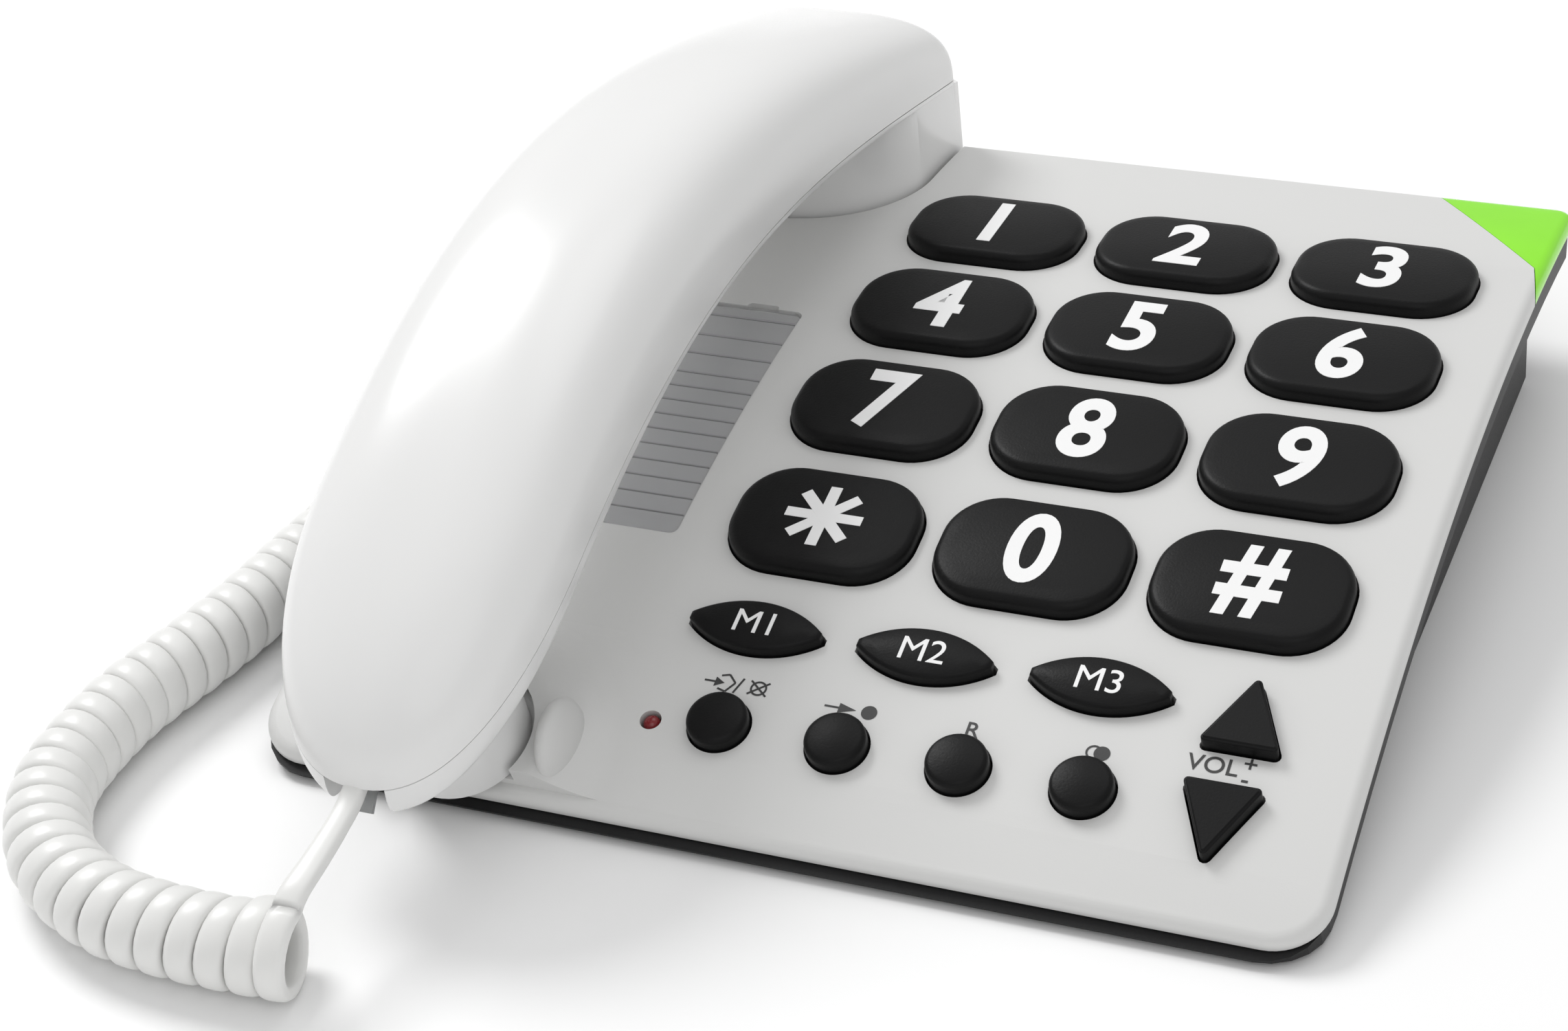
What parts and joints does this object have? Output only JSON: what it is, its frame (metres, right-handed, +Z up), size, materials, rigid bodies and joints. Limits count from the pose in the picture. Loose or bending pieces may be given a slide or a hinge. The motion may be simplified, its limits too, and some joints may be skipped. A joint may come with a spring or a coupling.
{
  "type": "corded desk telephone with large keys",
  "caption": "Corded desk telephone: big black numbered keys on a white wedge-shaped base, handset across its left side, curly cord",
  "frame": {"origin": "Centre of the footprint of base and handset, on the table surface", "axes": "+X to the user's right, +Y to the rear of the telephone, +Z up"},
  "size_m": [0.2096, 0.2423, 0.0786],
  "materials": {
    "black_key": "satin, numbered",
    "circuit_board": "solder mask",
    "clear_plastic": "clear",
    "cord": "soft vinyl jacket",
    "dark_casing": "satin moulded",
    "green_lens": "translucent",
    "hook_plastic": "natural moulded",
    "paper": "printed paper",
    "red_lens": "translucent",
    "rubber": "matt",
    "steel": "plain",
    "switch_black": "moulded",
    "white_casing": "semi-gloss moulded"
  },
  "bodies": {
    "base": {"base_upper_casing": "white_casing", "ring_indicator_lens": "green_lens", "base_lower_casing": "dark_casing", "main_circuit_board": "circuit_board", "keypad_contact_mat": "rubber", "memory_lamp": "red_lens", "index_card": "paper", "index_card_cover": "clear_plastic", "hook_lever_pin": "steel", "hook_switch": "switch_black", "ringer_speaker": "steel", "ballast_weight": "steel", "line_socket": "dark_casing", "base_cord_socket": "dark_casing", "base_plug": "clear_plastic", "base_screw_1": "steel", "base_screw_2": "steel", "base_screw_3": "steel", "base_screw_4": "steel", "foot_rear_right": "rubber", "foot_rear_left": "rubber", "foot_front_right": "rubber", "foot_front_left": "rubber", "cord_coil": "cord", "base_lead": "cord"},
    "key_1": {"key_1": "black_key"},
    "key_2": {"key_2": "black_key"},
    "key_3": {"key_3": "black_key"},
    "key_4": {"key_4": "black_key"},
    "key_5": {"key_5": "black_key"},
    "key_6": {"key_6": "black_key"},
    "key_7": {"key_7": "black_key"},
    "key_8": {"key_8": "black_key"},
    "key_9": {"key_9": "black_key"},
    "key_star": {"key_star": "black_key"},
    "key_0": {"key_0": "black_key"},
    "key_hash": {"key_hash": "black_key"},
    "memory_key_1": {"memory_key_1": "black_key"},
    "memory_key_2": {"memory_key_2": "black_key"},
    "memory_key_3": {"memory_key_3": "black_key"},
    "store_key": {"store_key": "black_key"},
    "redial_key": {"redial_key": "black_key"},
    "recall_key": {"recall_key": "black_key"},
    "mute_key": {"mute_key": "black_key"},
    "volume_up_key": {"volume_up_key": "black_key"},
    "volume_down_key": {"volume_down_key": "black_key"},
    "hook_plunger": {"hook_plunger": "hook_plastic"},
    "hook_lever": {"hook_lever": "hook_plastic"},
    "ringer_volume_slider": {"ringer_volume_slider": "hook_plastic"},
    "handset": {"handset_screw_1": "steel", "handset_screw_2": "steel", "handset_upper_shell": "white_casing", "handset_lower_shell": "white_casing", "handset_weight": "steel", "handset_cord_socket": "dark_casing", "handset_plug": "clear_plastic", "handset_lead": "cord", "receiver_capsule": "steel", "microphone_capsule": "steel"}
  },
  "joints": [
    {"name": "key_1_press", "type": "slide", "parent": "base", "child": "key_1", "axis": [0, -0.029, -0.9996], "range_m": [0, 0.0008], "stiffness_N_per_m": 600},
    {"name": "key_2_press", "type": "slide", "parent": "base", "child": "key_2", "axis": [0, -0.029, -0.9996], "range_m": [0, 0.0008], "stiffness_N_per_m": 600},
    {"name": "key_3_press", "type": "slide", "parent": "base", "child": "key_3", "axis": [0, -0.029, -0.9996], "range_m": [0, 0.0008], "stiffness_N_per_m": 600},
    {"name": "key_4_press", "type": "slide", "parent": "base", "child": "key_4", "axis": [0, 0.0523, -0.9986], "range_m": [0, 0.0008], "stiffness_N_per_m": 600},
    {"name": "key_5_press", "type": "slide", "parent": "base", "child": "key_5", "axis": [0, 0.0523, -0.9986], "range_m": [0, 0.0008], "stiffness_N_per_m": 600},
    {"name": "key_6_press", "type": "slide", "parent": "base", "child": "key_6", "axis": [0, 0.0523, -0.9986], "range_m": [0, 0.0008], "stiffness_N_per_m": 600},
    {"name": "key_7_press", "type": "slide", "parent": "base", "child": "key_7", "axis": [0, 0.1334, -0.9911], "range_m": [0, 0.0008], "stiffness_N_per_m": 600},
    {"name": "key_8_press", "type": "slide", "parent": "base", "child": "key_8", "axis": [0, 0.1334, -0.9911], "range_m": [0, 0.0008], "stiffness_N_per_m": 600},
    {"name": "key_9_press", "type": "slide", "parent": "base", "child": "key_9", "axis": [0, 0.1334, -0.9911], "range_m": [0, 0.0008], "stiffness_N_per_m": 600},
    {"name": "key_star_press", "type": "slide", "parent": "base", "child": "key_star", "axis": [0, 0.2135, -0.9769], "range_m": [0, 0.0008], "stiffness_N_per_m": 600},
    {"name": "key_0_press", "type": "slide", "parent": "base", "child": "key_0", "axis": [0, 0.2135, -0.9769], "range_m": [0, 0.0008], "stiffness_N_per_m": 600},
    {"name": "key_hash_press", "type": "slide", "parent": "base", "child": "key_hash", "axis": [0, 0.2135, -0.9769], "range_m": [0, 0.0008], "stiffness_N_per_m": 600},
    {"name": "memory_key_1_press", "type": "slide", "parent": "base", "child": "memory_key_1", "axis": [0, 0.277, -0.9609], "range_m": [0, 0.0008], "stiffness_N_per_m": 600},
    {"name": "memory_key_2_press", "type": "slide", "parent": "base", "child": "memory_key_2", "axis": [0, 0.277, -0.9609], "range_m": [0, 0.0008], "stiffness_N_per_m": 600},
    {"name": "memory_key_3_press", "type": "slide", "parent": "base", "child": "memory_key_3", "axis": [0, 0.277, -0.9609], "range_m": [0, 0.0008], "stiffness_N_per_m": 600},
    {"name": "store_key_press", "type": "slide", "parent": "base", "child": "store_key", "axis": [0, 0.3265, -0.9452], "range_m": [0, 0.0008], "stiffness_N_per_m": 600},
    {"name": "redial_key_press", "type": "slide", "parent": "base", "child": "redial_key", "axis": [0, 0.3265, -0.9452], "range_m": [0, 0.0008], "stiffness_N_per_m": 600},
    {"name": "recall_key_press", "type": "slide", "parent": "base", "child": "recall_key", "axis": [0, 0.3265, -0.9452], "range_m": [0, 0.0008], "stiffness_N_per_m": 600},
    {"name": "mute_key_press", "type": "slide", "parent": "base", "child": "mute_key", "axis": [0, 0.3265, -0.9452], "range_m": [0, 0.0008], "stiffness_N_per_m": 600},
    {"name": "volume_up_key_press", "type": "slide", "parent": "base", "child": "volume_up_key", "axis": [0, 0.2794, -0.9602], "range_m": [0, 0.0008], "stiffness_N_per_m": 600},
    {"name": "volume_down_key_press", "type": "slide", "parent": "base", "child": "volume_down_key", "axis": [0, 0.3326, -0.9431], "range_m": [0, 0.0008], "stiffness_N_per_m": 600},
    {"name": "hook_plunger_rise", "type": "slide", "parent": "base", "child": "hook_plunger", "axis": [0, 0.067, 0.9978], "range_m": [0, 0.0035]},
    {"name": "hook_lever_swing", "type": "hinge", "parent": "base", "child": "hook_lever", "pos_m": [-0.0523, 0.06597, 0.01709], "axis": [1, 0, 0], "range_deg": [0, 15.2]},
    {"name": "ringer_volume_slide", "type": "slide", "parent": "base", "child": "ringer_volume_slider", "axis": [1, 0, 0], "range_m": [0, 0.008]},
    {"name": "handset_lift_off", "type": "slide", "parent": "base", "child": "handset", "axis": [0, -0.0523, 0.9986], "range_m": [0, 0.06]}
  ],
  "couplings": [
    {"joint": "hook_plunger_rise", "follows": "handset_lift_off", "ratio": 0.05833},
    {"joint": "hook_lever_swing", "follows": "handset_lift_off", "rad_per_m": 4.4164}
  ]
}
